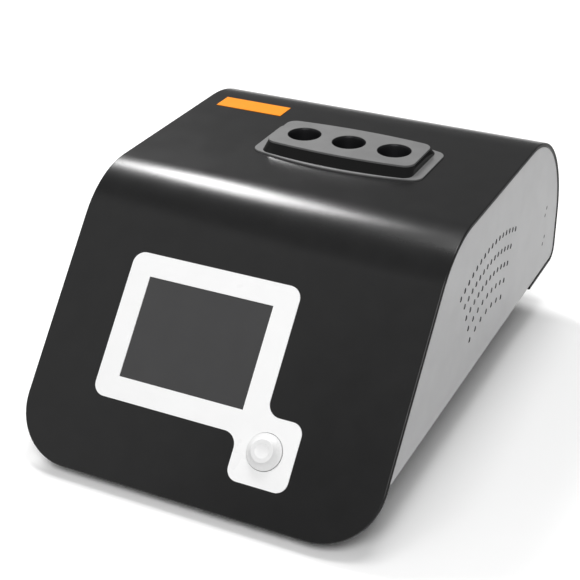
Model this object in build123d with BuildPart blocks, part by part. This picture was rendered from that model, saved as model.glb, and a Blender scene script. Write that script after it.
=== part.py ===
"""Melting point apparatus: bent casing with a leaning front, two side panels, a base tray,
a display with a push dial, a sample head with three wells over a heated block, and the
optics, boards, fan and mains parts that it needs inside. Millimetres, +Z up. The origin is
on the resting plane, under the middle of the overall depth and width."""

import os
from math import cos, radians, sin, tan

from build123d import *

os.makedirs("parts", exist_ok=True)

# Overall form
width = 290.0
depth = 421.0
body_height = 171.2
lean = radians(40.0)
wall = 3.4
edge_lift = 9.3
front_bend_radius = 75.0
rear_bend_radius = 96.0
lower_rear_radius = 12.0
front_corner_radius = 46.0
underside_rise = 32.6
return_length = 70.0
edge_round = 1.1
return_screw_places = (-110.0, -40.0, 40.0, 110.0)
return_screw_inset = 24.0
screw_radius = 1.5
screw_head_radius = 2.9
screw_head_height = 1.8

# Fits
seat_gap = 0.3
run_gap = 0.05
sheet = 1.5

# Side panels and their vents
panel_thickness = 2.6
panel_recess = 0.7
vent_radius = 1.7
vent_centre_back = 228.4
vent_centre_drop = 44.4
vent_outer_radius = 173.1
vent_row_pitch = 13.65
vent_rows = ((16, 43.2), (14, 39.6), (12, 38.8), (9, 37.0), (7, 36.2))

# Screws that hold the side panels to the rear posts
side_screw_places = ((37.2, 96.0), (40.6, 90.2), (36.6, 68.4), (40.6, 63.0))
side_screw_radius = 1.0
side_screw_head_radius = 1.7
side_screw_length = 5.0
post_width = 18.0
post_depth = 12.0
post_height = 66.0

# Base tray and feet
pan_inset = 41.0
pan_floor_drop = 30.0
pan_return_gap = 1.0
tray_lip_height = 14.0
foot_radius = 11.0
foot_flare = 1.5
foot_inset = 20.0
foot_front_back = 32.0
foot_recess = 6.0

# White surround on the front, in slope coordinates: across, and up the slope
surround_across = -23.6
surround_up = 113.4
surround_width = 138.0
surround_height = 111.2
surround_radius = 9.5
tail_across = 52.0
tail_up = 50.6
tail_width = 46.7
tail_height = 50.4
tail_radius = 8.8
join_radius = 10.3
surround_thickness = 1.8
surround_gap = 0.2
pocket_depth = 1.5
screen_across = -24.0
screen_width = 102.3
screen_height = 77.0
glass_thickness = 1.4
glass_ledge = 3.5
display_thickness = 6.0
display_border = 4.0
carrier_gap = 8.0
nut_height = 2.4
control_length = 86.0
control_height = 56.0
chip_size = 16.0
chip_height = 2.5
header_height = 6.0
board_thickness = 1.6

# Dial
dial_radius = 13.4
dial_top_radius = 8.3
dial_rim = 2.0
crown_round = 0.4
dial_height = 6.2
dial_flank_hollow = 0.35
dial_cap_radius = 5.4
dial_cap_depth = 1.6
dial_dish = 0.6
dial_press = 0.5
dial_hole_gap = 0.4
shaft_radius = 3.0
shaft_flat = 2.2
bush_radius = 4.2
encoder_size = 14.0
encoder_depth = 8.0
rotor_radius = 5.0
rotor_thickness = 1.4

# Sample head on the top
head_across = 14.0
head_ahead = 163.6
well_pitch = 38.5
well_radius = 13.6
well_count = 3
flange_half_length = 71.2
flange_half_width = 38.3
flange_bow_radius = 252.0
flange_corner = 9.0
flange_thickness = 1.2
flange_round = 0.4
collar_foot_half_length = 63.4
collar_foot_half_width = 35.6
collar_foot_bow_radius = 330.0
plate_half_length = 61.9
plate_half_width = 27.0
plate_bow_radius = 464.0
plate_corner = 8.6
plate_thickness = 1.6
plate_round = 0.5
head_height = 8.7
cup_wall = 1.0
cup_depth = 24.0
cup_rim_drop = 0.3
cup_lip = 0.25
cup_lip_depth = 1.6
cup_floor_radius = 8.5
cup_floor_thickness = 1.6
capillary_radius = 1.0
cup_opening_radius = 4.0

# Heated block, its insulation and its stand
block_length = 104.0
block_width = 30.0
base_height = 14.0
capillary_depth = 30.0
view_slot_width = 3.0
view_slot_height = 8.0
view_slot_rise = 1.0
heater_radius = 3.1
heater_length = 100.0
heater_spread = 16.0
heater_rise = 7.0
sensor_radius = 1.5
sensor_length = 26.0
sensor_depth = 12.0
sensor_rise = 21.0
insulation = 8.0
stand_leg_length = 24.0

# Optics
camera_reach = 81.4
camera_board_size = 38.0
camera_barrel_radius = 9.0
camera_barrel_length = 20.0
camera_stand_width = 40.0
lamp_board_height = 24.0
lamp_radius = 2.5
lamp_height = 5.0

# Boards, supply and fan
board_side_gap = 17.5
board_front_back = 54.0
board_camera_gap = 14.0
sink_across = 40.0
sink_length = 49.5
sink_depth = 40.0
sink_height = 22.0
sink_fin_pitch = 6.0
sink_fin_count = 9
capacitor_radius = 8.0
capacitor_height = 20.0
standoff_height = 6.0
standoff_radius = 3.0
supply_side_gap = 3.5
supply_fan_gap = 17.0
supply_rear_gap = 7.5
supply_depth = 50.0
supply_height = 34.0
supply_slot_margin = 12.0
fan_size = 60.0
fan_depth = 15.0
fan_side_gap = 26.5
fan_rear_gap = 5.5
fan_bore_radius = 28.0
fan_hub_radius = 11.0
fan_hub_height = 10.0
fan_hub_top = 2.0
fan_corner = 4.0
fan_blade_count = 7
fan_blade_pitch = 38.0
fan_blade_chord = 11.0
fan_blade_thickness = 1.2
fan_tip_gap = 1.0
fan_strut = 4.0
fan_base = 3.0
fan_pin_radius = 1.5
grille_pitch = 6.0
grille_bar = 3.0

# Rear connections
inlet_across = -96.0
rear_row_rise = 60.8
inlet_width = 27.0
inlet_height = 19.6
flange_border = 2.0
flange_proud = 1.6
inlet_depth = 21.0
socket_width = 24.0
socket_height = 16.4
socket_depth = 17.0
socket_corner = 3.0
earth_rise = 2.0
pin_pitch = 7.0
pin_width = 4.0
pin_thickness = 2.0
pin_length = 14.5
rocker_across = -52.0
rocker_width = 12.9
rocker_height = 19.2
rocker_depth = 16.0
rocker_half = 7.0
rocker_face = 5.0
rocker_taper = 0.8
rocker_root = 3.2
rocker_thickness = 9.4
rocker_pocket = 10.5
rocker_pin_radius = 1.2
rocker_pin_length = 1.0
rocker_swing = 9.0
port_across = -14.0
port_width = 12.0
port_height = 11.0
port_depth = 14.0
tongue_width = 5.6
tongue_height = 3.2

# Bare label plate on the top
label_side_gap = 15.7
label_rear_gap = 2.0
label_length = 60.6
label_width = 20.0
label_thickness = 0.4

# Places that follow from the sizes above
rear_proud = flange_proud + 2 * rocker_half * sin(radians(rocker_swing))
toe_inset = edge_round * (sin(lean) + cos(lean) - 1)
front_y = -(depth + rear_proud + toe_inset) / 2
rear_y = front_y + depth
edge_z = edge_lift
top_z = edge_z + body_height
under_z = edge_z + underside_rise
side_x = width / 2
panel_outer_x = side_x - panel_recess
panel_inner_x = panel_outer_x - panel_thickness
inner_rear_y = rear_y - wall
pan_floor_z = under_z - pan_floor_drop
tray_flange_z = under_z + wall + seat_gap
tray_rear_y = inner_rear_y - (lower_rear_radius - wall)
pan_half = side_x - pan_inset
pan_rear_y = rear_y - return_length - pan_return_gap
post_x = panel_inner_x - seat_gap
side_screw_spots = [(rear_y - ahead, edge_z + rise) for ahead, rise in side_screw_places]
post_y = sum(y for y, z in side_screw_spots) / len(side_screw_spots)
lip_rear_y = post_y - post_width / 2 - sheet
return_screw_y = rear_y - return_screw_inset
foot_spots = [
    (x, y)
    for x in (foot_inset - pan_half, pan_half - foot_inset)
    for y in (front_y + foot_front_back, pan_rear_y - foot_inset)
]
fan_across = pan_half - sheet - fan_side_gap - fan_size / 2
fan_y = pan_rear_y - sheet - fan_rear_gap - fan_size / 2
head_y = rear_y - head_ahead
head_span = (well_count - 1) * well_pitch
head_slot_radius = well_radius + seat_gap
head_spots = [(head_across + i * well_pitch - head_span / 2, head_y) for i in range(well_count)]
plate_z = top_z + head_height - plate_thickness
cup_rim_z = top_z + head_height - cup_rim_drop
cup_bottom_z = cup_rim_z - cup_depth
block_top_z = cup_bottom_z - seat_gap
bore_floor_z = block_top_z - capillary_depth
block_z = bore_floor_z - base_height
view_z = bore_floor_z + view_slot_rise + view_slot_height / 2
pan_deck_z = pan_floor_z + sheet
shell_length = block_length + 2 * insulation
shell_width = block_width + 2 * insulation
sensor_x = head_across + well_pitch / 2
sensor_tip_y = head_y + block_width / 2 - sensor_depth
camera_y = head_y - camera_reach
lamp_board_y = head_y + shell_width / 2
rear_row_z = edge_z + rear_row_rise
board_front_y = front_y + board_front_back
main_board_length = 2 * (pan_half - sheet - board_side_gap)
main_board_depth = camera_y - stand_leg_length - board_camera_gap - board_front_y
board_y = board_front_y + main_board_depth / 2
board_z = pan_deck_z + standoff_height
standoff_span = main_board_length - 4 * standoff_radius
standoff_reach = main_board_depth - 4 * standoff_radius
supply_left_x = supply_side_gap + sheet - pan_half
supply_length = fan_across - fan_size / 2 - supply_fan_gap - supply_left_x
supply_across = supply_left_x + supply_length / 2
supply_y = pan_rear_y - sheet - supply_rear_gap - supply_depth / 2
supply_slots = int((supply_length - 2 * supply_slot_margin) / grille_pitch)
label_across = label_side_gap + label_length / 2 - side_x
label_y = rear_y - rear_bend_radius - label_rear_gap - label_width / 2
rocker_reach = rocker_half * cos(radians(rocker_swing)) + rocker_face * sin(radians(rocker_swing))
flush_corner = rocker_face * cos(radians(rocker_swing)) - rocker_half * sin(radians(rocker_swing))
rocker_pivot_y = rear_y + flange_proud - flush_corner
front_plane = Plane(
    origin=(0, front_y, edge_z), x_dir=(1, 0, 0), z_dir=(0, -cos(lean), sin(lean))
)
rear_plane = Plane(origin=(0, rear_y, 0), x_dir=(-1, 0, 0), z_dir=(0, 1, 0))
dial_frame = front_plane.location * Location((tail_across, tail_up, 0))


def front_surface_y(z, inset=0.0):
    """Y of the leaning front at height z, moved inwards along its normal by inset."""
    return front_y + (z - edge_z) * tan(lean) + inset / cos(lean)


def profile_points(inset, bottom_z):
    """Corners of the body's side profile, inset from the outside, above bottom_z."""
    return (
        (front_surface_y(bottom_z, inset), bottom_z),
        (front_surface_y(top_z - inset, inset), top_z - inset),
        (rear_y - inset, top_z - inset),
        (rear_y - inset, bottom_z),
    )


def bend_radii(inset):
    """Radii of the front bend, the rear bend and the lower rear bend at an inset."""
    return (
        front_bend_radius - inset,
        rear_bend_radius - inset,
        lower_rear_radius - inset,
    )


def slope_point(across, up, out=0.0):
    """Point in space from a place on the leaning front and a distance out of it."""
    return front_plane.from_local_coords((across, up, out))


def bowed_outline(half_length, half_width, bow_radius, corner):
    """Return an outline with straight ends, bowed long sides and rounded corners."""
    end = half_width - bow_radius + (bow_radius**2 - half_length**2) ** 0.5
    with BuildSketch() as bowed:
        with BuildLine():
            Line((-half_length, -end), (-half_length, end))
            ThreePointArc((-half_length, end), (0, half_width), (half_length, end))
            Line((half_length, end), (half_length, -end))
            ThreePointArc((half_length, -end), (0, -half_width), (-half_length, -end))
        make_face()
        fillet(bowed.vertices(), corner)
    return bowed.sketch


def surround_outline(grow):
    """Make the outline of the white surround with its tail, grown by a small gap."""
    with Locations((surround_across, surround_up)):
        Rectangle(surround_width + 2 * grow, surround_height + 2 * grow)
    with Locations((tail_across, tail_up)):
        Rectangle(tail_width + 2 * grow, tail_height + 2 * grow)


def round_surround(outline, grow):
    """Round the corners of the surround's outline: frame, tail and the two joins."""
    left = surround_across - surround_width / 2 - grow
    right = surround_across + surround_width / 2 + grow
    low = surround_up - surround_height / 2 - grow
    high = surround_up + surround_height / 2 + grow
    tail_left = tail_across - tail_width / 2 - grow
    tail_right = tail_across + tail_width / 2 + grow
    tail_low = tail_up - tail_height / 2 - grow
    tail_high = tail_up + tail_height / 2 + grow
    frame = ((left, low), (left, high), (right, high))
    tail = ((tail_left, tail_low), (tail_right, tail_low), (tail_right, tail_high))
    joins = ((right, tail_high), (tail_left, low))
    for spots, radius in (
        (frame, surround_radius + grow),
        (tail, tail_radius + grow),
        (joins, join_radius - grow),
    ):
        fillet([outline.vertices().sort_by_distance(spot)[0] for spot in spots], radius)


def keyed_circle(radius, flat):
    """Return a circle with one flat, as on a keyed shaft, at a distance from its middle."""
    with BuildSketch() as key:
        Circle(radius)
        with Locations((0, flat)):
            Rectangle(2 * radius, radius, align=(Align.CENTER, Align.MIN), mode=Mode.SUBTRACT)
    return key.sketch


def on_skin(edge):
    """Tell whether an edge is part of the rim round the casing's outer surface."""
    point = edge @ 0.5
    run = abs((edge @ 0).X - (edge @ 1).X)
    if run > 2 * front_corner_radius:
        return point.Z < edge_z + edge_round
    if run < seat_gap and abs(abs(point.X) - side_x) > seat_gap:
        return False
    if edge.geom_type == GeomType.CIRCLE and run < seat_gap:
        return any(abs(edge.radius - radius) < seat_gap for radius in bend_radii(0))
    on_front = abs(front_plane.to_local_coords(point).Z) < run_gap
    flats = ((point.Z, top_z), (point.Y, rear_y), (point.Z, under_z))
    return on_front or any(abs(place - level) < run_gap for place, level in flats)


def save(builder, name):
    """Label a finished piece and write it as its own file."""
    builder.part.label = name
    export_step(builder.part, f"parts/{name}.step")


# Casing: one bent shell for the front, the top, the rear and a return under the rear
with BuildPart() as casing:
    toe = (front_y, edge_z)
    heel = (front_y + wall * cos(lean), edge_z - wall * sin(lean))
    knee = (front_surface_y(under_z, wall), under_z)
    with BuildSketch(Plane.YZ):
        with BuildLine():
            FilletPolyline(toe, *profile_points(0, under_z)[1:], knee, radius=bend_radii(0))
            Polyline(knee, heel, toe)
        make_face()
    extrude(amount=side_x, both=True)
    with BuildSketch(Plane.YZ):
        with BuildLine():
            inner = profile_points(wall, under_z + wall)
            lip = (rear_y - return_length, under_z + wall)
            below = (rear_y - return_length, under_z - wall)
            start = (heel[0] - wall * sin(lean), heel[1] - wall * cos(lean))
            FilletPolyline(start, *inner[1:], lip, radius=bend_radii(wall))
            Polyline(lip, below, start)
        make_face()
    extrude(amount=side_x + wall, both=True, mode=Mode.SUBTRACT)
    cut_edges = casing.edges().filter_by(lambda e: abs(e.length - wall) < run_gap)
    fillet(cut_edges.sort_by(Axis.Y)[:2], front_corner_radius)
    fillet(casing.edges().filter_by(on_skin), edge_round)
    with BuildSketch(front_plane) as pocket:
        surround_outline(surround_gap)
        round_surround(pocket, surround_gap)
    extrude(amount=-pocket_depth, mode=Mode.SUBTRACT)
    with BuildSketch(front_plane):
        with Locations((screen_across, surround_up)):
            Rectangle(screen_width - 2 * glass_ledge, screen_height - 2 * glass_ledge)
        with Locations((tail_across, tail_up)):
            Circle(bush_radius + seat_gap)
    extrude(amount=-2 * wall, mode=Mode.SUBTRACT)
    with BuildSketch(Plane.XY.offset(top_z)):
        with Locations((head_across, head_y)):
            SlotCenterToCenter(head_span, 2 * head_slot_radius)
    extrude(amount=-2 * wall, mode=Mode.SUBTRACT)
    with BuildSketch(rear_plane):
        with Locations((-inlet_across, rear_row_z)):
            Rectangle(inlet_width, inlet_height)
        with Locations((-rocker_across, rear_row_z)):
            Rectangle(rocker_width, rocker_height)
        with Locations((-port_across, rear_row_z)):
            Rectangle(port_width, port_height)
    extrude(amount=-2 * wall, mode=Mode.SUBTRACT)
    with Locations(Plane.XY.offset(under_z + wall)):
        with Locations([(x, return_screw_y) for x in return_screw_places]):
            Hole(screw_radius + seat_gap, depth=2 * wall)
save(casing, "casing")

# Side panels: plates inside the casing's rim, with vents and countersunk screw holes
with BuildPart() as side_panel_right:
    panel_inset = wall + seat_gap
    with BuildSketch(Plane.YZ.offset(panel_inner_x)):
        with BuildLine():
            outline = profile_points(panel_inset, tray_flange_z)
            radii = (edge_round, *bend_radii(panel_inset))
            FilletPolyline(*outline, radius=radii, close=True)
        make_face()
    extrude(amount=panel_thickness)
    with BuildSketch(Plane.YZ.offset(panel_outer_x)):
        with Locations((front_y + vent_centre_back, edge_z - vent_centre_drop)):
            for row, (count, span) in enumerate(vent_rows):
                reach = vent_outer_radius - row * vent_row_pitch
                with PolarLocations(reach, count, 90 - span / 2, span, endpoint=True):
                    Circle(vent_radius)
    extrude(amount=-panel_thickness, mode=Mode.SUBTRACT)
    with Locations(Plane.YZ.offset(panel_outer_x)):
        with Locations(side_screw_spots):
            CounterSinkHole(side_screw_radius + run_gap, side_screw_head_radius)
save(side_panel_right, "side_panel_right")

with BuildPart() as side_panel_left:
    mirror(side_panel_right.part, about=Plane.YZ)
save(side_panel_left, "side_panel_left")

# Posts: angle pieces that stand on the tray's flange and take the side screws
with BuildPart() as rear_posts:
    with BuildSketch(Plane.XY.offset(tray_flange_z + sheet)):
        with Locations((post_x, post_y)):
            Rectangle(post_depth, post_width, align=(Align.MAX, Align.CENTER))
            with Locations((-2 * sheet, -sheet)):
                Rectangle(
                    post_depth, post_width, align=(Align.MAX, Align.CENTER), mode=Mode.SUBTRACT
                )
    extrude(amount=post_height)
    with Locations(Plane.YZ.offset(post_x)):
        with Locations(side_screw_spots):
            Hole(side_screw_radius + run_gap, depth=2 * sheet)
    mirror(about=Plane.YZ)
save(rear_posts, "rear_posts")

with BuildPart() as side_screw_shape:
    with BuildSketch(Plane.XZ):
        with BuildLine():
            cone = side_screw_head_radius - side_screw_radius
            Polyline(
                (0, 0),
                (side_screw_head_radius, 0),
                (side_screw_radius, -cone),
                (side_screw_radius, -side_screw_length),
                (0, -side_screw_length),
                (0, 0),
            )
        make_face()
    revolve(axis=Axis.Z)
side_screw = side_screw_shape.part
with BuildPart() as side_screws:
    for spot_y, spot_z in side_screw_spots:
        add(Location((panel_outer_x, spot_y, spot_z), (0, 90, 0)) * side_screw)
    mirror(about=Plane.YZ)
save(side_screws, "side_screws")

# Base tray: a pan with a wide flange that carries the panels and the works
with BuildPart() as tray_cavity:
    with BuildSketch(Plane.YZ):
        low_z = pan_deck_z
        high_z = tray_flange_z + 2 * sheet
        inner_inset = wall + seat_gap + sheet
        Polygon(
            (front_surface_y(low_z, inner_inset), low_z),
            (front_surface_y(high_z, inner_inset), high_z),
            (pan_rear_y - sheet, high_z),
            (pan_rear_y - sheet, low_z),
            align=None,
        )
    extrude(amount=pan_half - sheet, both=True)

with BuildPart() as base_tray:
    pan_top_z = tray_flange_z + sheet
    with BuildSketch(Plane.YZ):
        Polygon(
            (front_surface_y(pan_floor_z, wall + seat_gap), pan_floor_z),
            (front_surface_y(pan_top_z, wall + seat_gap), pan_top_z),
            (pan_rear_y, pan_top_z),
            (pan_rear_y, pan_floor_z),
            align=None,
        )
    extrude(amount=pan_half, both=True)
    fillet(base_tray.edges().group_by(Axis.Z)[0], sheet)
    with BuildSketch(Plane.XY.offset(tray_flange_z)):
        flange_front = front_surface_y(pan_top_z, wall + seat_gap)
        flange_long = tray_rear_y - flange_front
        with Locations((0, flange_front + flange_long / 2)):
            Rectangle(2 * post_x, flange_long)
    extrude(amount=sheet)
    with BuildSketch(Plane.YZ.offset(post_x)):
        lip_top_z = pan_top_z + tray_lip_height
        Polygon(
            (front_surface_y(lip_top_z, wall + seat_gap), tray_flange_z),
            (front_surface_y(lip_top_z, wall + seat_gap), lip_top_z),
            (lip_rear_y, lip_top_z),
            (lip_rear_y, tray_flange_z),
            align=None,
        )
    lip = extrude(amount=-sheet)
    mirror(lip, about=Plane.YZ)
    add(tray_cavity.part, mode=Mode.SUBTRACT)
    with BuildSketch(front_plane):
        with Locations((tail_across, tail_up)):
            Rectangle(encoder_size + 4 * sheet, encoder_size + 4 * sheet)
    extrude(amount=-(wall + encoder_depth + sheet), mode=Mode.SUBTRACT)
    with BuildSketch(Plane.XY.offset(pan_floor_z)) as grille:
        with Locations((fan_across, fan_y)):
            ring = fan_bore_radius - sheet
            while ring > grille_pitch:
                Circle(ring)
                Circle(ring - grille_bar, mode=Mode.SUBTRACT)
                ring -= grille_pitch
            Rectangle(2 * fan_bore_radius, grille_bar, mode=Mode.SUBTRACT)
            Rectangle(grille_bar, 2 * fan_bore_radius, mode=Mode.SUBTRACT)
    extrude(amount=sheet, mode=Mode.SUBTRACT)
    with Locations(Plane.XY.offset(pan_deck_z)):
        with Locations(foot_spots):
            Hole(screw_radius + run_gap, depth=2 * sheet)
    with Locations(Plane.XY.offset(tray_flange_z + sheet)):
        with Locations([(x, return_screw_y) for x in return_screw_places]):
            Hole(screw_radius + run_gap, depth=2 * sheet)
save(base_tray, "base_tray")

# Feet: rubber stubs under the pan, each on a screw that is sunk into it
with BuildPart() as feet:
    with Locations([(x, y, 0) for x, y in foot_spots]):
        Cone(
            foot_radius, foot_radius + foot_flare, pan_floor_z,
            align=(Align.CENTER, Align.CENTER, Align.MIN),
        )
    with BuildSketch(Plane.XY) as screw_holes:
        with Locations(foot_spots):
            Circle(screw_radius + seat_gap)
    extrude(amount=pan_floor_z, mode=Mode.SUBTRACT)
    with BuildSketch(Plane.XY) as screw_recesses:
        with Locations(foot_spots):
            Circle(screw_head_radius + seat_gap)
    extrude(amount=foot_recess, mode=Mode.SUBTRACT)
save(feet, "feet")

with BuildPart() as foot_screws:
    with Locations([(x, y, foot_recess) for x, y in foot_spots]):
        Cylinder(
            screw_radius, pan_deck_z - foot_recess,
            align=(Align.CENTER, Align.CENTER, Align.MIN),
        )
        Cylinder(
            screw_head_radius, screw_head_height,
            align=(Align.CENTER, Align.CENTER, Align.MAX),
        )
save(foot_screws, "foot_screws")

with BuildPart() as return_screws:
    with Locations([(x, return_screw_y, under_z) for x in return_screw_places]):
        Cylinder(
            screw_radius, tray_flange_z + sheet - under_z,
            align=(Align.CENTER, Align.CENTER, Align.MIN),
        )
        Cylinder(
            screw_head_radius, screw_head_height,
            align=(Align.CENTER, Align.CENTER, Align.MAX),
        )
save(return_screws, "return_screws")

# White surround: one flat piece round the screen with a tail that holds the dial
with BuildPart() as display_surround:
    with BuildSketch(front_plane.offset(-pocket_depth)) as surround:
        surround_outline(0)
        round_surround(surround, 0)
        with Locations((screen_across, surround_up)):
            Rectangle(screen_width, screen_height, mode=Mode.SUBTRACT)
        with Locations((tail_across, tail_up)):
            Circle(dial_radius + dial_hole_gap, mode=Mode.SUBTRACT)
    extrude(amount=surround_thickness)
save(display_surround, "display_surround")

with BuildPart() as display_glass:
    with BuildSketch(front_plane.offset(-pocket_depth)):
        with Locations((screen_across, surround_up)):
            Rectangle(screen_width - 2 * surround_gap, screen_height - 2 * surround_gap)
    extrude(amount=glass_thickness)
save(display_glass, "display_glass")

# Display module behind the wall, its carrier plate, studs, nuts and control board
module_length = screen_width + 2 * display_border
module_height = screen_height + 2 * display_border
module_face = wall + seat_gap
carrier_face = module_face + display_thickness
stud_across = module_length / 2 + 2 * standoff_radius
stud_up = module_height / 2 - 2 * standoff_radius
with BuildPart() as display_module:
    with BuildSketch(front_plane.offset(-module_face)):
        with Locations((screen_across, surround_up)):
            Rectangle(module_length, module_height)
    extrude(amount=-display_thickness)
save(display_module, "display_module")

with BuildPart() as display_carrier:
    with BuildSketch(front_plane.offset(-carrier_face)):
        with Locations((screen_across, surround_up)):
            Rectangle(2 * stud_across + 4 * standoff_radius, module_height)
            with GridLocations(2 * stud_across, 2 * stud_up, 2, 2):
                Circle(screw_radius + run_gap, mode=Mode.SUBTRACT)
    extrude(amount=-sheet)
    fillet(display_carrier.edges().filter_by(lambda e: abs(e.length - sheet) < run_gap), 4)
save(display_carrier, "display_carrier")

with BuildPart() as display_studs:
    with BuildSketch(front_plane.offset(-wall)) as stud_places:
        with Locations((screen_across, surround_up)):
            with GridLocations(2 * stud_across, 2 * stud_up, 2, 2):
                Circle(standoff_radius)
    extrude(amount=wall - carrier_face)
    with BuildSketch(front_plane.offset(-carrier_face)):
        with Locations((screen_across, surround_up)):
            with GridLocations(2 * stud_across, 2 * stud_up, 2, 2):
                Circle(screw_radius)
    extrude(amount=-(sheet + nut_height))
save(display_studs, "display_studs")

with BuildPart() as display_nuts:
    with BuildSketch(front_plane.offset(-(carrier_face + sheet))):
        with Locations((screen_across, surround_up)):
            with GridLocations(2 * stud_across, 2 * stud_up, 2, 2):
                RegularPolygon(2 * screw_radius, 6)
                Circle(screw_radius + run_gap, mode=Mode.SUBTRACT)
    extrude(amount=-nut_height)
save(display_nuts, "display_nuts")

with BuildPart() as control_spacers:
    with BuildSketch(front_plane.offset(-(carrier_face + sheet))):
        with Locations((screen_across, surround_up)):
            with GridLocations(control_length - 8 * sheet, control_height - 8 * sheet, 2, 2):
                Circle(standoff_radius)
    extrude(amount=-carrier_gap)
save(control_spacers, "control_spacers")

with BuildPart() as control_board:
    with BuildSketch(front_plane.offset(-(carrier_face + sheet + carrier_gap))):
        with Locations((screen_across, surround_up)):
            Rectangle(control_length, control_height)
    extrude(amount=-board_thickness)
    with BuildSketch(front_plane.offset(-(carrier_face + sheet + carrier_gap + board_thickness))):
        with Locations((screen_across, surround_up)):
            with Locations((0, 0)):
                Rectangle(chip_size, chip_size)
            with Locations((0, control_height / 2 - header_height)):
                Rectangle(control_length / 2, header_height)
    extrude(amount=-chip_height)
save(control_board, "control_board")

# Dial: a flared ring with a dished cap, on a shaft that turns and clicks inwards
dial_foot = -pocket_depth + dial_press + seat_gap
shaft_top = dial_foot + dial_height - dial_cap_depth
encoder_face = -(wall + seat_gap)
rotor_face = encoder_face - sheet
cavity_depth = encoder_depth - 2 * sheet
with BuildPart() as dial_ring:
    with BuildSketch(Plane.XZ):
        with BuildLine():
            rim_point = (dial_radius, dial_foot + dial_rim)
            crown_point = (dial_top_radius, dial_foot + dial_height)
            hollow_point = (
                (rim_point[0] + crown_point[0]) / 2 - dial_flank_hollow,
                (rim_point[1] + crown_point[1]) / 2 - dial_flank_hollow,
            )
            Polyline(
                crown_point,
                (dial_cap_radius + run_gap, dial_foot + dial_height),
                (dial_cap_radius + run_gap, shaft_top),
                (shaft_radius + run_gap, shaft_top),
                (shaft_radius + run_gap, dial_foot),
                (dial_radius, dial_foot),
                rim_point,
            )
            ThreePointArc(rim_point, hollow_point, crown_point)
        make_face()
    revolve(axis=Axis.Z)
    fillet(dial_ring.edges().sort_by(Axis.Z)[-2:].sort_by(SortBy.RADIUS)[-1:], crown_round)
    rims = dial_ring.edges().filter_by(lambda e: abs((e @ 0).Z - dial_foot - dial_rim) < run_gap)
    fillet(rims, crown_round)
dial_ring.part = dial_frame * dial_ring.part
save(dial_ring, "dial_ring")

with BuildPart() as dial_cap:
    with BuildSketch(Plane.XZ):
        with BuildLine():
            cap_top = dial_foot + dial_height
            Polyline(
                (0, cap_top - dial_dish),
                (0, shaft_top),
                (dial_cap_radius, shaft_top),
                (dial_cap_radius, cap_top),
            )
            sphere = (dial_cap_radius**2 + dial_dish**2) / (2 * dial_dish)
            rise = sphere - (sphere**2 - dial_cap_radius**2 / 4) ** 0.5
            ThreePointArc(
                (dial_cap_radius, cap_top),
                (dial_cap_radius / 2, cap_top - dial_dish + rise),
                (0, cap_top - dial_dish),
            )
        make_face()
    revolve(axis=Axis.Z)
dial_cap.part = dial_frame * dial_cap.part
save(dial_cap, "dial_cap")

with BuildPart() as encoder_shaft:
    with BuildSketch(Plane.XY.offset(shaft_top)):
        Circle(shaft_radius)
    extrude(amount=-(shaft_top - rotor_face - dial_press))
    with BuildSketch(Plane.XY.offset(rotor_face + dial_press)):
        add(keyed_circle(shaft_radius, shaft_flat))
    extrude(amount=-(cavity_depth - seat_gap))
encoder_shaft.part = dial_frame * encoder_shaft.part
save(encoder_shaft, "encoder_shaft")

with BuildPart() as encoder_rotor:
    with BuildSketch(Plane.XY.offset(rotor_face - seat_gap)):
        Circle(rotor_radius)
        add(keyed_circle(shaft_radius + run_gap, shaft_flat + run_gap), mode=Mode.SUBTRACT)
    extrude(amount=-rotor_thickness)
encoder_rotor.part = dial_frame * encoder_rotor.part
save(encoder_rotor, "encoder_rotor")

with BuildPart() as encoder_body:
    with BuildSketch(Plane.XY.offset(encoder_face)):
        Rectangle(encoder_size, encoder_size)
    extrude(amount=-encoder_depth)
    with BuildSketch(Plane.XY.offset(encoder_face)):
        Circle(bush_radius)
    extrude(amount=-pocket_depth - encoder_face)
    with BuildSketch(Plane.XY.offset(rotor_face)):
        Circle(rotor_radius + seat_gap)
    extrude(amount=-(rotor_thickness + 2 * seat_gap), mode=Mode.SUBTRACT)
    with BuildSketch(Plane.XY.offset(-pocket_depth)):
        Circle(shaft_radius + run_gap)
    extrude(amount=-(cavity_depth - pocket_depth - rotor_face), mode=Mode.SUBTRACT)
encoder_body.part = dial_frame * encoder_body.part
save(encoder_body, "encoder_body")

# Sample head: a thin flange, a flared collar, a top plate and three funnel cups
with BuildPart() as head_flange:
    with BuildSketch(Plane.XY.offset(top_z)):
        with Locations((head_across, head_y)):
            add(
                bowed_outline(
                    flange_half_length, flange_half_width, flange_bow_radius, flange_corner
                )
            )
            SlotCenterToCenter(head_span, 2 * head_slot_radius, mode=Mode.SUBTRACT)
    extrude(amount=flange_thickness)
    fillet(head_flange.faces().sort_by(Axis.Z)[-1].outer_wire().edges(), flange_round)
save(head_flange, "head_flange")

with BuildPart() as head_collar:
    with BuildSketch(Plane.XY.offset(top_z + flange_thickness)):
        with Locations((head_across, head_y)):
            add(
                bowed_outline(
                    collar_foot_half_length,
                    collar_foot_half_width,
                    collar_foot_bow_radius,
                    plate_corner,
                )
            )
    with BuildSketch(Plane.XY.offset(plate_z)):
        with Locations((head_across, head_y)):
            add(bowed_outline(plate_half_length, plate_half_width, plate_bow_radius, plate_corner))
    loft()
    with BuildSketch(Plane.XY.offset(top_z)):
        with Locations((head_across, head_y)):
            SlotCenterToCenter(head_span, 2 * head_slot_radius)
    extrude(amount=2 * head_height, mode=Mode.SUBTRACT)
save(head_collar, "head_collar")

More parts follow.
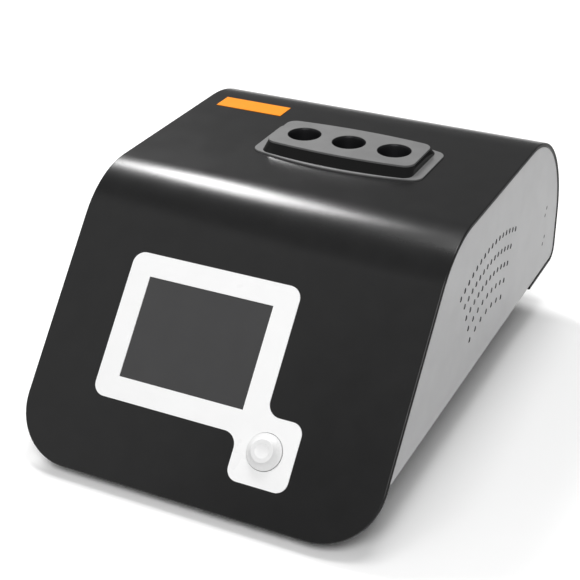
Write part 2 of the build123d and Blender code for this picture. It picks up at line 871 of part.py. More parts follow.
with BuildPart() as head_plate:
    with BuildSketch(Plane.XY.offset(plate_z)):
        with Locations((head_across, head_y)):
            add(bowed_outline(plate_half_length, plate_half_width, plate_bow_radius, plate_corner))
        with Locations(head_spots):
            Circle(well_radius, mode=Mode.SUBTRACT)
    extrude(amount=plate_thickness)
    fillet(head_plate.faces().sort_by(Axis.Z)[-1].outer_wire().edges(), plate_round)
save(head_plate, "head_plate")

with BuildPart() as well_cup:
    with BuildSketch(Plane.XZ):
        with BuildLine():
            cup_outer = well_radius - run_gap
            collar_low = -(plate_thickness + flange_thickness)
            floor_outer = cup_floor_radius + cup_wall
            Polyline(
                (cup_outer - cup_wall, -cup_lip_depth),
                (cup_outer - cup_lip, 0),
                (cup_outer, 0),
                (cup_outer, collar_low),
                (floor_outer, -cup_depth),
                (cup_opening_radius, -cup_depth),
                (cup_opening_radius, cup_floor_thickness - cup_depth),
                (cup_floor_radius, cup_floor_thickness - cup_depth),
                (cup_outer - cup_wall, -cup_lip_depth),
            )
        make_face()
    revolve(axis=Axis.Z)
cup = well_cup.part
with BuildPart() as well_cups:
    for x, y in head_spots:
        add(Location((x, y, cup_rim_z)) * cup)
save(well_cups, "well_cups")

# Heated block with capillary bores and view slots, on a base that closes the bores
with BuildPart() as heating_block:
    with BuildSketch(Plane.XY.offset(bore_floor_z)):
        with Locations((head_across, head_y)):
            Rectangle(block_length, block_width)
    extrude(amount=capillary_depth)
    chamfer(heating_block.edges().filter_by(Axis.Z), sheet)
    with Locations([(x, y, block_top_z) for x, y in head_spots]):
        Hole(capillary_radius)
    with BuildSketch(Plane.XZ.offset(-head_y)):
        with Locations([(x, view_z) for x, y in head_spots]):
            Rectangle(view_slot_width, view_slot_height)
    extrude(amount=block_width, both=True, mode=Mode.SUBTRACT)
    with BuildSketch(Plane.XZ.offset(-sensor_tip_y)):
        with Locations((sensor_x, bore_floor_z + sensor_rise)):
            Circle(sensor_radius + run_gap)
    extrude(amount=-block_width, mode=Mode.SUBTRACT)
save(heating_block, "heating_block")

with BuildPart() as heater_base:
    with BuildSketch(Plane.XY.offset(block_z)):
        with Locations((head_across, head_y)):
            Rectangle(block_length, block_width)
    extrude(amount=base_height)
    chamfer(heater_base.edges().filter_by(Axis.Z), sheet)
    with BuildSketch(Plane.YZ.offset(head_across)):
        with Locations((head_y, block_z + heater_rise)):
            with GridLocations(heater_spread, 1, 2, 1):
                Circle(heater_radius + run_gap)
    extrude(amount=block_length, both=True, mode=Mode.SUBTRACT)
save(heater_base, "heater_base")

with BuildPart() as heaters:
    with BuildSketch(Plane.YZ.offset(head_across)):
        with Locations((head_y, block_z + heater_rise)):
            with GridLocations(heater_spread, 1, 2, 1):
                Circle(heater_radius)
    extrude(amount=heater_length / 2, both=True)
save(heaters, "heaters")

with BuildPart() as temperature_sensor:
    with BuildSketch(Plane.XZ.offset(-sensor_tip_y)):
        with Locations((sensor_x, bore_floor_z + sensor_rise)):
            Circle(sensor_radius)
    extrude(amount=-sensor_length)
save(temperature_sensor, "temperature_sensor")

with BuildPart() as block_insulation:
    with BuildSketch(Plane.XY.offset(block_z - insulation)):
        with Locations((head_across, head_y)):
            RectangleRounded(shell_length, shell_width, insulation / 2)
    extrude(amount=block_top_z - block_z + insulation)
    with BuildSketch(Plane.XY.offset(block_z)):
        with Locations((head_across, head_y)):
            Rectangle(block_length + 2 * seat_gap, block_width + 2 * seat_gap)
    extrude(amount=block_top_z - block_z + insulation, mode=Mode.SUBTRACT)
    with BuildSketch(Plane.XZ.offset(-head_y)):
        with Locations((head_across, view_z)):
            Rectangle(head_span + 4 * lamp_radius, view_slot_height + sheet)
    extrude(amount=shell_width, both=True, mode=Mode.SUBTRACT)
    with BuildSketch(Plane.XZ.offset(-head_y)):
        with Locations((sensor_x, bore_floor_z + sensor_rise)):
            Circle(sensor_radius + seat_gap)
    extrude(amount=-shell_width, mode=Mode.SUBTRACT)
save(block_insulation, "block_insulation")

with BuildPart() as block_stand:
    stand_top_z = block_z - insulation
    with BuildSketch(Plane.XZ.offset(-head_y)):
        with Locations((head_across, stand_top_z)):
            Rectangle(shell_length, sheet, align=(Align.CENTER, Align.MAX))
        for side, grip in ((-1, Align.MIN), (1, Align.MAX)):
            with Locations((head_across + side * shell_length / 2, pan_deck_z)):
                Rectangle(sheet, stand_top_z - pan_deck_z, align=(grip, Align.MIN))
                Rectangle(stand_leg_length, sheet, align=(grip, Align.MIN))
    extrude(amount=shell_width / 2, both=True)
    with BuildSketch(Plane.YZ.offset(head_across)):
        with Locations((head_y, (stand_top_z + pan_deck_z) / 2)):
            SlotOverall(stand_top_z - pan_deck_z - stand_leg_length, shell_width / 2, rotation=90)
    extrude(amount=shell_length, both=True, mode=Mode.SUBTRACT)
save(block_stand, "block_stand")

# Optics: a camera on its stand in front of the block and a lamp board behind it
with BuildPart() as camera_stand:
    with BuildSketch(Plane.XZ.offset(-camera_y)):
        with Locations((head_across, pan_deck_z)):
            Rectangle(
                camera_stand_width,
                view_z + camera_board_size / 2 - pan_deck_z,
                align=(Align.CENTER, Align.MIN),
            )
    extrude(amount=sheet)
    fillet(camera_stand.edges().filter_by(Axis.Y).group_by(Axis.Z)[-1], standoff_radius)
    with BuildSketch(Plane.XY.offset(pan_deck_z)):
        with Locations((head_across, camera_y)):
            Rectangle(camera_stand_width, stand_leg_length, align=(Align.CENTER, Align.MAX))
    extrude(amount=sheet)
save(camera_stand, "camera_stand")

with BuildPart() as camera_board:
    with BuildSketch(Plane.XZ.offset(-camera_y)):
        with Locations((head_across, view_z)):
            RectangleRounded(camera_board_size, camera_board_size, standoff_radius)
    extrude(amount=-board_thickness)
save(camera_board, "camera_board")

with BuildPart() as camera_barrel:
    with BuildSketch(Plane.XY):
        Circle(camera_barrel_radius)
    extrude(amount=camera_barrel_length)
    with BuildSketch(Plane.XY.offset(camera_barrel_length * 0.6)):
        Circle(camera_barrel_radius)
        Circle(camera_barrel_radius - sheet, mode=Mode.SUBTRACT)
    extrude(amount=sheet, mode=Mode.SUBTRACT)
    with BuildSketch(Plane.XY.offset(camera_barrel_length)):
        Circle(camera_barrel_radius - 2 * sheet)
    extrude(amount=-2 * sheet, mode=Mode.SUBTRACT)
lens_place = Location((head_across, camera_y + board_thickness, view_z), (-90, 0, 0))
camera_barrel.part = lens_place * camera_barrel.part
save(camera_barrel, "camera_barrel")

with BuildPart() as camera_lens:
    with BuildSketch(Plane.XZ):
        with BuildLine():
            lens_radius = camera_barrel_radius - 2 * sheet
            Polyline((0, sheet), (0, 0), (lens_radius, 0), (lens_radius, sheet / 2))
            Line((lens_radius, sheet / 2), (0, sheet))
        make_face()
    revolve(axis=Axis.Z)
lens_seat = Location((0, 0, camera_barrel_length - 2 * sheet))
camera_lens.part = lens_place * lens_seat * camera_lens.part
save(camera_lens, "camera_lens")

with BuildPart() as lamp_board:
    with BuildSketch(Plane.XZ.offset(-lamp_board_y)):
        with Locations((head_across, view_z)):
            Rectangle(shell_length, lamp_board_height)
    extrude(amount=-board_thickness)
save(lamp_board, "lamp_board")

with BuildPart() as lamps:
    with BuildSketch(Plane.XZ.offset(-lamp_board_y)):
        with Locations([(x, view_z) for x, y in head_spots]):
            Circle(lamp_radius)
    extrude(amount=lamp_height)
    fillet(lamps.edges().group_by(Axis.Y)[0], lamp_radius * 0.8)
save(lamps, "lamps")

# Main board on its standoffs, with a finned heat sink and capacitors
with BuildPart() as board_standoffs:
    with BuildSketch(Plane.XY.offset(pan_deck_z)):
        with Locations((0, board_y)):
            with GridLocations(standoff_span, standoff_reach, 2, 2):
                RegularPolygon(standoff_radius, 6)
    extrude(amount=standoff_height)
save(board_standoffs, "board_standoffs")

with BuildPart() as main_board:
    with BuildSketch(Plane.XY.offset(board_z)):
        with Locations((0, board_y)):
            RectangleRounded(main_board_length, main_board_depth, standoff_radius)
            with GridLocations(standoff_span, standoff_reach, 2, 2):
                Circle(screw_radius, mode=Mode.SUBTRACT)
    extrude(amount=board_thickness)
save(main_board, "main_board")

with BuildPart() as heat_sink:
    with BuildSketch(Plane.XY.offset(board_z + board_thickness)):
        with Locations((sink_across, board_y)):
            Rectangle(sink_length, sink_depth)
    extrude(amount=sink_height)
    with BuildSketch(Plane.XY.offset(board_z + board_thickness + 2 * sheet)):
        with Locations((sink_across, board_y)):
            with GridLocations(sink_fin_pitch, 1, sink_fin_count - 1, 1):
                Rectangle(sink_fin_pitch - sheet, 2 * sink_depth)
    extrude(amount=sink_height, mode=Mode.SUBTRACT)
save(heat_sink, "heat_sink")

with BuildPart() as board_capacitors:
    with BuildSketch(Plane.XY.offset(board_z + board_thickness)):
        with Locations((-sink_across, board_y)):
            with GridLocations(3 * capacitor_radius, 1, 3, 1):
                Circle(capacitor_radius)
    extrude(amount=capacitor_height)
    fillet(board_capacitors.edges().group_by(Axis.Z)[-1], cup_wall)
save(board_capacitors, "board_capacitors")

# Power supply: a closed metal module with slots over it
with BuildPart() as power_supply:
    with BuildSketch(Plane.XY.offset(pan_deck_z)):
        with Locations((supply_across, supply_y)):
            RectangleRounded(supply_length, supply_depth, sheet)
    extrude(amount=supply_height)
    with BuildSketch(Plane.XY.offset(pan_deck_z + supply_height)):
        with Locations((supply_across, supply_y)):
            with GridLocations(grille_pitch, 1, supply_slots, 1):
                SlotOverall(supply_depth * 0.7, grille_bar, rotation=90)
    extrude(amount=-sheet, mode=Mode.SUBTRACT)
save(power_supply, "power_supply")

# Fan: a square frame over the grille, and a rotor that spins on its pin
with BuildPart() as fan_frame:
    with BuildSketch(Plane.XY.offset(pan_deck_z)):
        with Locations((fan_across, fan_y)):
            RectangleRounded(fan_size, fan_size, fan_corner)
    extrude(amount=fan_depth)
    with BuildSketch(Plane.XY.offset(pan_deck_z)):
        with Locations((fan_across, fan_y)):
            Circle(fan_bore_radius)
            Circle(fan_hub_radius, mode=Mode.SUBTRACT)
            Rectangle(fan_size, fan_strut, mode=Mode.SUBTRACT)
            Rectangle(fan_strut, fan_size, mode=Mode.SUBTRACT)
    extrude(amount=fan_base, mode=Mode.SUBTRACT)
    with BuildSketch(Plane.XY.offset(pan_deck_z + fan_base)):
        with Locations((fan_across, fan_y)):
            Circle(fan_bore_radius)
    extrude(amount=fan_depth, mode=Mode.SUBTRACT)
    with BuildSketch(Plane.XY.offset(pan_deck_z + fan_base)):
        with Locations((fan_across, fan_y)):
            Circle(fan_pin_radius)
    extrude(amount=seat_gap + fan_hub_height - fan_hub_top - seat_gap)
save(fan_frame, "fan_frame")

with BuildPart() as fan_rotor:
    with BuildSketch(Plane.YZ.offset(fan_hub_radius / 2)):
        with Locations((0, fan_hub_height / 2)):
            Rectangle(fan_blade_thickness, fan_blade_chord, rotation=90 - fan_blade_pitch)
    extrude(amount=fan_bore_radius)
    blade = fan_rotor.part
with BuildPart() as fan_rotor:
    with PolarLocations(0, fan_blade_count):
        add(blade)
    Cylinder(
        fan_bore_radius - fan_tip_gap, fan_hub_height,
        align=(Align.CENTER, Align.CENTER, Align.MIN), mode=Mode.INTERSECT,
    )
    Cylinder(fan_hub_radius, fan_hub_height, align=(Align.CENTER, Align.CENTER, Align.MIN))
    fillet(fan_rotor.edges().group_by(Axis.Z)[-1], cup_wall)
    Cylinder(
        fan_pin_radius + run_gap, fan_hub_height - fan_hub_top,
        align=(Align.CENTER, Align.CENTER, Align.MIN), mode=Mode.SUBTRACT,
    )
fan_rotor.part = Location((fan_across, fan_y, pan_deck_z + fan_base + seat_gap)) * fan_rotor.part
save(fan_rotor, "fan_rotor")

# Mains inlet with its three pins, in the rear wall
with BuildPart() as mains_inlet:
    with BuildSketch(rear_plane):
        with Locations((-inlet_across, rear_row_z)):
            RectangleRounded(
                inlet_width + 2 * flange_border, inlet_height + 2 * flange_border, flange_border
            )
    extrude(amount=flange_proud)
    with BuildSketch(rear_plane):
        with Locations((-inlet_across, rear_row_z)):
            Rectangle(inlet_width - 2 * seat_gap, inlet_height - 2 * seat_gap)
    extrude(amount=-inlet_depth)
    with BuildSketch(rear_plane.offset(flange_proud)) as socket:
        with Locations((-inlet_across, rear_row_z)):
            Rectangle(socket_width, socket_height)
        chamfer(socket.vertices().group_by(Axis.Z)[-1], socket_corner)
    extrude(amount=-socket_depth, mode=Mode.SUBTRACT)
save(mains_inlet, "mains_inlet")

with BuildPart() as inlet_pins:
    with BuildSketch(rear_plane.offset(flange_proud - socket_depth)):
        with Locations((-inlet_across, rear_row_z)):
            with Locations((-pin_pitch, 0), (0, earth_rise), (pin_pitch, 0)):
                Rectangle(pin_thickness, pin_width)
    extrude(amount=pin_length)
save(inlet_pins, "inlet_pins")

# Mains switch: a frame in the rear wall and a rocker that tips on two pivot pins
with BuildPart() as rocker_frame:
    with BuildSketch(rear_plane):
        with Locations((-rocker_across, rear_row_z)):
            RectangleRounded(
                rocker_width + 2 * flange_border, rocker_height + 2 * flange_border, flange_border
            )
    extrude(amount=flange_proud)
    with BuildSketch(rear_plane):
        with Locations((-rocker_across, rear_row_z)):
            Rectangle(rocker_width - 2 * seat_gap, rocker_height - 2 * seat_gap)
    extrude(amount=-rocker_depth)
    with BuildSketch(rear_plane.offset(flange_proud)):
        with Locations((-rocker_across, rear_row_z)):
            Rectangle(rocker_thickness + 2 * seat_gap, 2 * (rocker_reach + seat_gap))
    extrude(amount=-rocker_pocket, mode=Mode.SUBTRACT)
    with BuildSketch(Plane.YZ.offset(rocker_across)):
        with Locations((rocker_pivot_y, rear_row_z)):
            Circle(rocker_pin_radius + run_gap)
    pin_hole = rocker_thickness / 2 + rocker_pin_length + seat_gap
    extrude(amount=pin_hole, both=True, mode=Mode.SUBTRACT)
save(rocker_frame, "rocker_frame")

with BuildPart() as rocker_button:
    with BuildSketch(Plane.YZ):
        valley = rocker_face - rocker_half * tan(radians(rocker_swing))
        Polygon(
            (rocker_face, -rocker_half),
            (valley, 0),
            (rocker_face, rocker_half),
            (0, rocker_half - rocker_taper),
            (-rocker_root, rocker_root),
            (-rocker_root, -rocker_root),
            (0, rocker_taper - rocker_half),
            align=None,
        )
    extrude(amount=rocker_thickness / 2, both=True)
    with BuildSketch(Plane.YZ):
        Circle(rocker_pin_radius)
    extrude(amount=rocker_thickness / 2 + rocker_pin_length, both=True)
rocker_rest = Location((rocker_across, rocker_pivot_y, rear_row_z), (-rocker_swing, 0, 0))
rocker_button.part = rocker_rest * rocker_button.part
save(rocker_button, "rocker_button")

# Data port: a metal shell round a tongue
with BuildPart() as data_port:
    with BuildSketch(rear_plane):
        with Locations((-port_across, rear_row_z)):
            Rectangle(port_width - 2 * seat_gap, port_height - 2 * seat_gap)
    extrude(amount=-port_depth)
    with BuildSketch(rear_plane) as cavity:
        with Locations((-port_across, rear_row_z)):
            Rectangle(port_width - 2 * cup_wall, port_height - 2 * cup_wall)
            chamfer(cavity.vertices().group_by(Axis.Z)[-1], flange_border)
            Rectangle(tongue_width, tongue_height, mode=Mode.SUBTRACT)
    extrude(amount=sheet - port_depth, mode=Mode.SUBTRACT)
save(data_port, "data_port")

# Bare label plate on the top
with BuildPart() as label_plate:
    with BuildSketch(Plane.XY.offset(top_z)):
        with Locations((label_across, label_y)):
            Rectangle(label_length, label_width)
    extrude(amount=label_thickness)
save(label_plate, "label_plate")
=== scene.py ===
"""Looks of a melting point apparatus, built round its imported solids."""

from __future__ import annotations

import logging
import math
from collections.abc import Callable
from dataclasses import dataclass
from enum import Enum

import bmesh
import bpy
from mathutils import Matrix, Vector


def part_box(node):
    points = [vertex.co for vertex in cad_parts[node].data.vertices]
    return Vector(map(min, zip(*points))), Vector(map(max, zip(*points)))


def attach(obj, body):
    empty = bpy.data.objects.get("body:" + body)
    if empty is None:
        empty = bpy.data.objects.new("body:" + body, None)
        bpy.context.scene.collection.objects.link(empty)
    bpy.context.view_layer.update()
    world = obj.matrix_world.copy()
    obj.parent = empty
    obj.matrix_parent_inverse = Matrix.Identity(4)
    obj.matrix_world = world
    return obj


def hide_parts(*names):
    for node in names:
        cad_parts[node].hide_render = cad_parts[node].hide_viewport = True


LOG = logging.getLogger("melting_point_apparatus")

Colour = tuple[float, float, float]
Point = tuple[float, float, float]

HOUSING = "housing"

# Limits of the mesh work, as angles in radians and lengths in metres
SMOOTH_LIMIT = math.radians(28.0)
FLAT_LIMIT = math.radians(0.2)
MERGE_DISTANCE = 1e-6
SAME_PLANE = 1e-5

# How much more a large face steers the shading than a small one, from 1 to 100
NORMAL_WEIGHT = 80

# Clouds that vary a finish: octaves, the part of the noise that is used, and how
# many clouds the gloss has for each cloud of the colour
CLOUD_DETAIL = 3.0
CLOUD_START, CLOUD_END = 0.3, 0.7
GLOSS_CLOUD = 0.6
LEAST_ROUGHNESS = 0.02

# Octaves of the noise behind each relief, and the share of its finer octaves
PEEL_DETAIL = 1.0
MOULDED_DETAIL = 3.0
BRUSH_DETAIL, BRUSH_ROUGHNESS = 4.0, 0.6
FIBRE_DETAIL, FIBRE_ROUGHNESS = 5.0, 0.7

# Copper tracks of a board
TRACK_CELLS = 0.1
TRACK_RANDOMNESS = 0.35
TRACK_EDGE = (0.28, 0.3)
TRACK_RAMP = (0.45, 0.55)

# Fibres of the insulation
FIBRE_CLOUD = 0.4
FIBRE_CLOUD_DETAIL = 4.0
FIBRE_CLOUD_STRETCH = (1.0, 6.0, 1.0)
FIBRE_STRETCH = (1.0, 8.0, 1.0)
FIBRE_RAMP = (0.35, 0.65)

# Brush lines and lathe rings
BRUSH_STRETCH = (0.03, 1.0, 1.0)
RING_WAVER = 0.4


class Grain(Enum):
    """Kinds of fine relief that a finish can have."""

    PEEL = "the fine waviness of sprayed paint"
    MOULDED = "the fine tooth of moulded plastic"
    BRUSHED = "straight brush lines along X"
    TURNED = "the rings that a lathe leaves"
    FIBRE = "matted fibres"
    TRACKS = "copper tracks under a board's lacquer"


class Bench:
    """A material's node tree with short ways to add and join its nodes."""

    def __init__(self, name: str) -> None:
        """Start an empty tree with a surface shader and its output.

        Args:
            name: Name of the material.
        """
        self.material = bpy.data.materials.new(name)
        self.material.use_nodes = True
        self.tree = self.material.node_tree
        self.tree.nodes.clear()
        self.output = self.tree.nodes.new("ShaderNodeOutputMaterial")
        self.shader = self.add("ShaderNodeBsdfPrincipled")
        self.join(self.shader.outputs["BSDF"], self.output.inputs["Surface"])

    def add(self, kind: str, **values: float | tuple) -> bpy.types.Node:
        """Add a node and set its sockets.

        Args:
            kind: Blender's name of the node type.
            **values: Socket values by name, with spaces as underscores.

        Returns:
            The new node.
        """
        node = self.tree.nodes.new(kind)
        for name, value in values.items():
            node.inputs[name.replace("_", " ")].default_value = value
        return node

    def join(self, source: bpy.types.NodeSocket, target: bpy.types.NodeSocket) -> None:
        """Link one socket to another."""
        self.tree.links.new(source, target)

    def place(self, stretch: Point = (1.0, 1.0, 1.0), centre: Point = (0.0, 0.0, 0.0),
              turn: Point = (0.0, 0.0, 0.0)) -> bpy.types.NodeSocket:
        """Give object coordinates, centred, turned and stretched.

        Args:
            stretch: Factor along each axis.
            centre: Point of the object that becomes the pattern's middle.
            turn: Angles that turn the pattern, in radians.

        Returns:
            The socket with the coordinates.
        """
        source = self.add("ShaderNodeTexCoord").outputs["Object"]
        mapping = self.tree.nodes.new("ShaderNodeMapping")
        mapping.vector_type = "TEXTURE"
        mapping.inputs["Location"].default_value = centre
        mapping.inputs["Rotation"].default_value = turn
        mapping.inputs["Scale"].default_value = tuple(1.0 / s for s in stretch)
        self.join(source, mapping.inputs["Vector"])
        return mapping.outputs["Vector"]

    def noise(self, place: bpy.types.NodeSocket, scale: float, detail: float = 2.0,
              roughness: float = 0.5) -> bpy.types.NodeSocket:
        """Give a noise value over a place.

        Args:
            place: Coordinates to read.
            scale: Cells per metre.
            detail: Octaves of the noise.
            roughness: Share of the finer octaves.

        Returns:
            The socket with the noise, from 0 to 1.
        """
        node = self.add("ShaderNodeTexNoise", Scale=scale, Detail=detail, Roughness=roughness)
        self.join(place, node.inputs["Vector"])
        return node.outputs["Fac"]

    def between(self, value: bpy.types.NodeSocket, low: float, high: float,
                start: float = CLOUD_START, end: float = CLOUD_END) -> bpy.types.NodeSocket:
        """Map a value's range start to end on to low to high.

        Args:
            value: Socket to read.
            low: Result at the start.
            high: Result at the end.
            start: Value at which the result leaves low.
            end: Value at which the result reaches high.

        Returns:
            The socket with the result.
        """
        node = self.add("ShaderNodeMapRange")
        for name, number in (("From Min", start), ("From Max", end),
                             ("To Min", low), ("To Max", high)):
            node.inputs[name].default_value = number
        self.join(value, node.inputs["Value"])
        return node.outputs["Result"]

    def tint(self, value: bpy.types.NodeSocket, first: Colour, second: Colour,
             start: float = CLOUD_START, end: float = CLOUD_END) -> bpy.types.NodeSocket:
        """Colour a value with a ramp between two colours.

        Args:
            value: Socket to read.
            first: Colour at the start.
            second: Colour at the end.
            start: Value at which the ramp leaves the first colour.
            end: Value at which the ramp reaches the second colour.

        Returns:
            The socket with the colour.
        """
        node = self.tree.nodes.new("ShaderNodeValToRGB")
        for element, position, colour in zip(
                node.color_ramp.elements, (start, end), (first, second)):
            element.position = position
            element.color = (*colour, 1.0)
        self.join(value, node.inputs["Fac"])
        return node.outputs["Color"]

    def relief(self, height: bpy.types.NodeSocket, depth: float, strength: float) -> None:
        """Raise the surface by a height map.

        Args:
            height: Socket with the height, from 0 to 1.
            depth: Height of the relief in metres.
            strength: Share of the relief that shows.
        """
        node = self.add("ShaderNodeBump", Strength=strength, Distance=depth)
        self.join(height, node.inputs["Height"])
        self.join(node.outputs["Normal"], self.shader.inputs["Normal"])


@dataclass(frozen=True)
class Finish:
    """A finish that covers a piece: colour, gloss and fine relief.

    Attributes:
        name: Name of the material.
        colour: Linear colour of the surface.
        roughness: Middle of the roughness.
        metallic: 1 for bare metal.
        coat: Weight of a clear coat.
        coat_roughness: Roughness of that coat.
        specular: Strength of the plain reflection.
        mottle: Share by which the colour varies.
        mottle_scale: Cells of the variation per metre.
        wander: How far the roughness varies.
        grain: Kind of the fine relief.
        grain_scale: Cells of the relief per metre.
        grain_depth: Height of the relief in metres.
        grain_strength: Share of the relief that shows.
        centre: Middle of a turned pattern.
        turn: Angles of a turned pattern, in radians.
        second: Colour of a board's raised tracks.
        alpha: Opacity.
    """

    name: str
    colour: Colour
    roughness: float = 0.5
    metallic: float = 0.0
    coat: float = 0.0
    coat_roughness: float = 0.1
    specular: float = 0.5
    mottle: float = 0.08
    mottle_scale: float = 60.0
    wander: float = 0.06
    grain: Grain = Grain.MOULDED
    grain_scale: float = 1500.0
    grain_depth: float = 0.00002
    grain_strength: float = 0.3
    centre: Point = (0.0, 0.0, 0.0)
    turn: Point = (0.0, 0.0, 0.0)
    second: Colour | None = None
    alpha: float = 1.0

    def material(self) -> bpy.types.Material:
        """Build the finish's material once and give it.

        Returns:
            The material.
        """
        known = bpy.data.materials.get(self.name)
        if known is not None:
            return known
        bench = Bench(self.name)
        self.set_gloss(bench)
        self.set_colour(bench)
        self.set_relief(bench)
        return bench.material

    def set_gloss(self, bench: Bench) -> None:
        """Set the shader's constants and let the roughness wander.

        Args:
            bench: Tree to work on.
        """
        sockets = bench.shader.inputs
        sockets["Metallic"].default_value = self.metallic
        sockets["Specular IOR Level"].default_value = self.specular
        sockets["Coat Weight"].default_value = self.coat
        sockets["Coat Roughness"].default_value = self.coat_roughness
        sockets["Alpha"].default_value = self.alpha
        cloud = bench.noise(bench.place(), self.mottle_scale * GLOSS_CLOUD, CLOUD_DETAIL)
        low, high = self.roughness - self.wander / 2, self.roughness + self.wander / 2
        bench.join(bench.between(cloud, max(low, LEAST_ROUGHNESS), high), sockets["Roughness"])

    def set_colour(self, bench: Bench) -> None:
        """Let the colour vary a little, or show a board's tracks.

        Args:
            bench: Tree to work on.
        """
        dark = tuple(channel * (1.0 - self.mottle) for channel in self.colour)
        light = tuple(min(channel * (1.0 + self.mottle), 1.0) for channel in self.colour)
        if self.grain is Grain.TRACKS:
            value, ramp = self.tracks(bench), TRACK_RAMP
            dark, light = self.colour, self.second or light
        elif self.grain is Grain.FIBRE:
            value = bench.noise(bench.place(FIBRE_CLOUD_STRETCH), self.grain_scale * FIBRE_CLOUD,
                                FIBRE_CLOUD_DETAIL)
            ramp = FIBRE_RAMP
        else:
            value = bench.noise(bench.place(), self.mottle_scale, CLOUD_DETAIL)
            ramp = (CLOUD_START, CLOUD_END)
        colour = bench.tint(value, dark, light, *ramp)
        bench.join(colour, bench.shader.inputs["Base Color"])

    def tracks(self, bench: Bench) -> bpy.types.NodeSocket:
        """Give a pattern of straight tracks in cells.

        Args:
            bench: Tree to work on.

        Returns:
            The socket with the pattern, from 0 to 1.
        """
        cells = bench.add("ShaderNodeTexVoronoi", Scale=self.grain_scale * TRACK_CELLS,
                          Randomness=TRACK_RANDOMNESS)
        cells.distance = "CHEBYCHEV"
        bench.join(bench.place(), cells.inputs["Vector"])
        return bench.between(cells.outputs["Distance"], 0.0, 1.0, *TRACK_EDGE)

    def set_relief(self, bench: Bench) -> None:
        """Add the fine relief of the finish's grain.

        Args:
            bench: Tree to work on.
        """
        if self.grain is Grain.BRUSHED:
            height = bench.noise(bench.place(BRUSH_STRETCH), self.grain_scale,
                                 BRUSH_DETAIL, BRUSH_ROUGHNESS)
        elif self.grain is Grain.TURNED:
            rings = bench.add("ShaderNodeTexWave", Scale=self.grain_scale, Distortion=RING_WAVER)
            rings.wave_type = "RINGS"
            rings.rings_direction = "Z"
            bench.join(bench.place(centre=self.centre, turn=self.turn), rings.inputs["Vector"])
            height = rings.outputs["Fac"]
        elif self.grain is Grain.TRACKS:
            height = self.tracks(bench)
        elif self.grain is Grain.FIBRE:
            height = bench.noise(bench.place(FIBRE_STRETCH), self.grain_scale,
                                 FIBRE_DETAIL, FIBRE_ROUGHNESS)
        else:
            detail = PEEL_DETAIL if self.grain is Grain.PEEL else MOULDED_DETAIL
            height = bench.noise(bench.place(), self.grain_scale, detail)
        bench.relief(height, self.grain_depth, self.grain_strength)


def shape_of(node: str) -> bpy.types.Object:
    """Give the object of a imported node.

    Args:
        node: Name of the node.

    Returns:
        Its object.
    """
    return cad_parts[node]


def dress(piece: bpy.types.Object, finish: Finish) -> None:
    """Cover a whole piece with one finish.

    Args:
        piece: Object to cover.
        finish: Its finish.
    """
    piece.data.materials.clear()
    piece.data.materials.append(finish.material())
    LOG.info("dressed %s with %s", piece.name, finish.name)


def mark_sharp(mesh: bmesh.types.BMesh) -> None:
    """Shade a mesh smooth, apart from its sharp edges.

    Args:
        mesh: Mesh to work on.
    """
    for face in mesh.faces:
        face.smooth = True
    for edge in mesh.edges:
        edge.smooth = len(edge.link_faces) == 2 and edge.calc_face_angle(0.0) < SMOOTH_LIMIT


def finish_piece(mesh: bmesh.types.BMesh, name: str) -> bpy.types.Object:
    """Turn a bmesh into an object of the scene, with weighted normals.

    Args:
        mesh: Mesh of the piece, in the object's own frame. It is freed.
        name: Name of the piece.

    Returns:
        The new object.
    """
    data = bpy.data.meshes.new(name)
    mesh.to_mesh(data)
    mesh.free()
    piece = bpy.data.objects.new(name, data)
    bpy.context.scene.collection.objects.link(piece)
    weighted = piece.modifiers.new("even_normals", "WEIGHTED_NORMAL")
    weighted.keep_sharp = True
    weighted.weight = NORMAL_WEIGHT
    return piece


def smooth_copy(node: str, name: str) -> bpy.types.Object:
    """Make a merged copy of a node whose curved faces shade smoothly.

    Args:
        node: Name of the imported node.
        name: Name of the copy.

    Returns:
        The new object.
    """
    mesh = bmesh.new()
    mesh.from_mesh(shape_of(node).data)
    bmesh.ops.remove_doubles(mesh, verts=mesh.verts, dist=MERGE_DISTANCE)
    bmesh.ops.dissolve_limit(mesh, angle_limit=FLAT_LIMIT, verts=mesh.verts, edges=mesh.edges)
    mark_sharp(mesh)
    return finish_piece(mesh, name)


def add_finish(piece: bpy.types.Object, finish: Finish,
               chosen: Callable[[bpy.types.MeshPolygon], bool]) -> None:
    """Give some faces of a piece another finish.

    Args:
        piece: Object to work on.
        finish: The other finish.
        chosen: Test that is true for the faces that get it.
    """
    piece.data.materials.append(finish.material())
    for face in piece.data.polygons:
        if chosen(face):
            face.material_index = len(piece.data.materials) - 1


def cover(node: str, finish: Finish, body: str = HOUSING) -> bpy.types.Object:
    """Stand a smooth, dressed copy in for a node.

    Args:
        node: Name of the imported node.
        finish: Finish of the copy.
        body: Body that the copy rides on.

    Returns:
        The new object.
    """
    piece = smooth_copy(node, f"{node}_shell")
    dress(piece, finish)
    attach(piece, body)
    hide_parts(node)
    return piece


BLACK_PAINT = Finish(
    "casing black paint", (0.0105, 0.0105, 0.0107), roughness=0.24, specular=0.32,
    grain=Grain.PEEL, grain_scale=700.0, grain_depth=0.00003, grain_strength=0.05, wander=0.03)
CUT_EDGE = Finish(
    "casing cut edge paint", (0.012, 0.012, 0.012), roughness=0.5, specular=0.12,
    grain=Grain.PEEL, grain_scale=700.0, grain_strength=0.05)
# Near-black walls and eased rims of the vent holes: painted shade that stands in for the shade
# inside the holes of a panel painted grey
VENT_PAINTED_SHADE = Finish(
    "vent wall painted shade", (0.008, 0.008, 0.008), roughness=0.6, specular=0.1)
PANEL_PAINT = Finish(
    "side panel grey paint", (0.56, 0.56, 0.565), roughness=0.42, mottle=0.02,
    grain=Grain.PEEL, grain_scale=900.0, grain_strength=0.08)
TRAY_PAINT = Finish("tray grey paint", (0.05, 0.05, 0.055), roughness=0.5, grain=Grain.PEEL)
WHITE_GLOSS = Finish("white moulded surround", (0.92, 0.92, 0.92), roughness=0.3, mottle=0.01)
